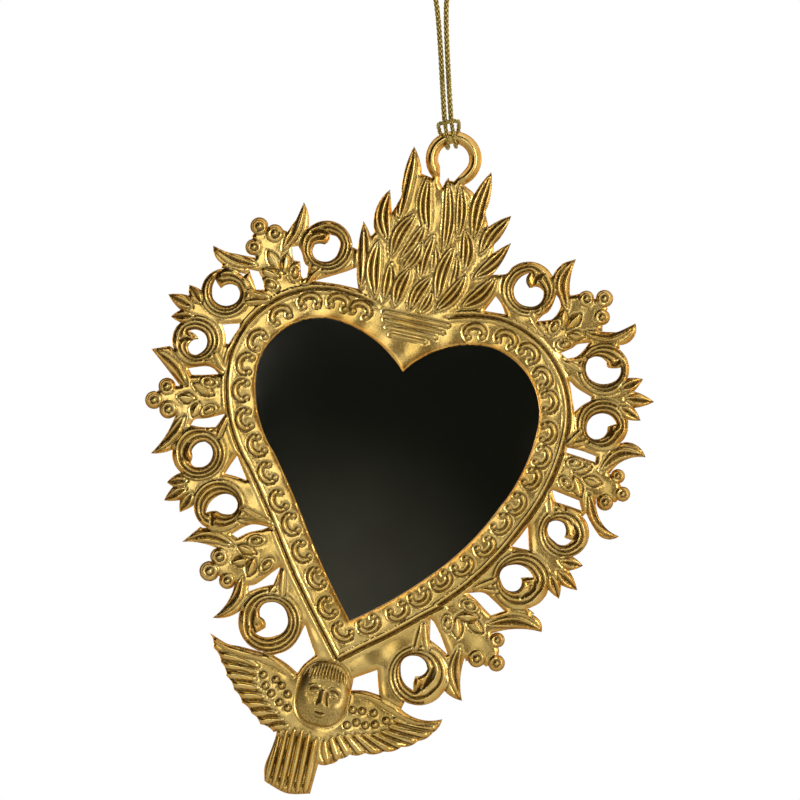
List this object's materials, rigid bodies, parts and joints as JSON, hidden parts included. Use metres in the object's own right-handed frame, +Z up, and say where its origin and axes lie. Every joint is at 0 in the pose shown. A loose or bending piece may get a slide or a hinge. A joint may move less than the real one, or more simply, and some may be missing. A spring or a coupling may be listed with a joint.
{
  "type": "heart-shaped wall mirror",
  "caption": "Heart-shaped pressed-tin wall mirror with flames, scrolls, berry sprays and a winged cherub head, hung by a cord hitched to the ring at its top.",
  "frame": {"origin": "where the nail carries the hanging cord, in the middle of the cord's thickness", "axes": "+Z up along the heart's own axis, +X to the right seen from the front, +Y from the front to the wall"},
  "size_m": [0.1771, 0.0084, 0.304],
  "materials": {
    "gold_tin": "antique gold paint over pressed tin, dark in the grooves",
    "looking_glass": "silvered flat glass",
    "greyboard": "grey-brown card",
    "plain_tin": "bare tinplate, dulled",
    "solder": "dull soft solder",
    "gold_cord": "twisted metallic gold cord"
  },
  "bodies": {
    "hanging_cord": {"cord_left_leg": "gold_cord", "cord_right_leg": "gold_cord", "cord_end_knot": "gold_cord"},
    "hitch": {"cord_hitch": "gold_cord"},
    "mirror": {"front_plate": "gold_tin", "mirror_glass": "looking_glass", "backing_card": "greyboard", "back_cover": "plain_tin", "retaining_tab_1": "plain_tin", "retaining_tab_2": "plain_tin", "retaining_tab_3": "plain_tin", "retaining_tab_4": "plain_tin", "retaining_tab_5": "plain_tin", "retaining_tab_6": "plain_tin", "retaining_tab_7": "plain_tin", "retaining_tab_8": "plain_tin", "solder_beads": "solder"}
  },
  "joints": [
    {"name": "tip", "type": "hinge", "parent": "hanging_cord", "child": "hitch", "pos_m": [0.01216, 0, -0.04385], "axis": [0.9336, 0, 0.3584], "range_deg": [-60, 30]},
    {"name": "swing", "type": "hinge", "parent": "hitch", "child": "mirror", "pos_m": [0.01746, 0, -0.05766], "axis": [0, 1, 0], "range_deg": [-30, 30]}
  ]
}
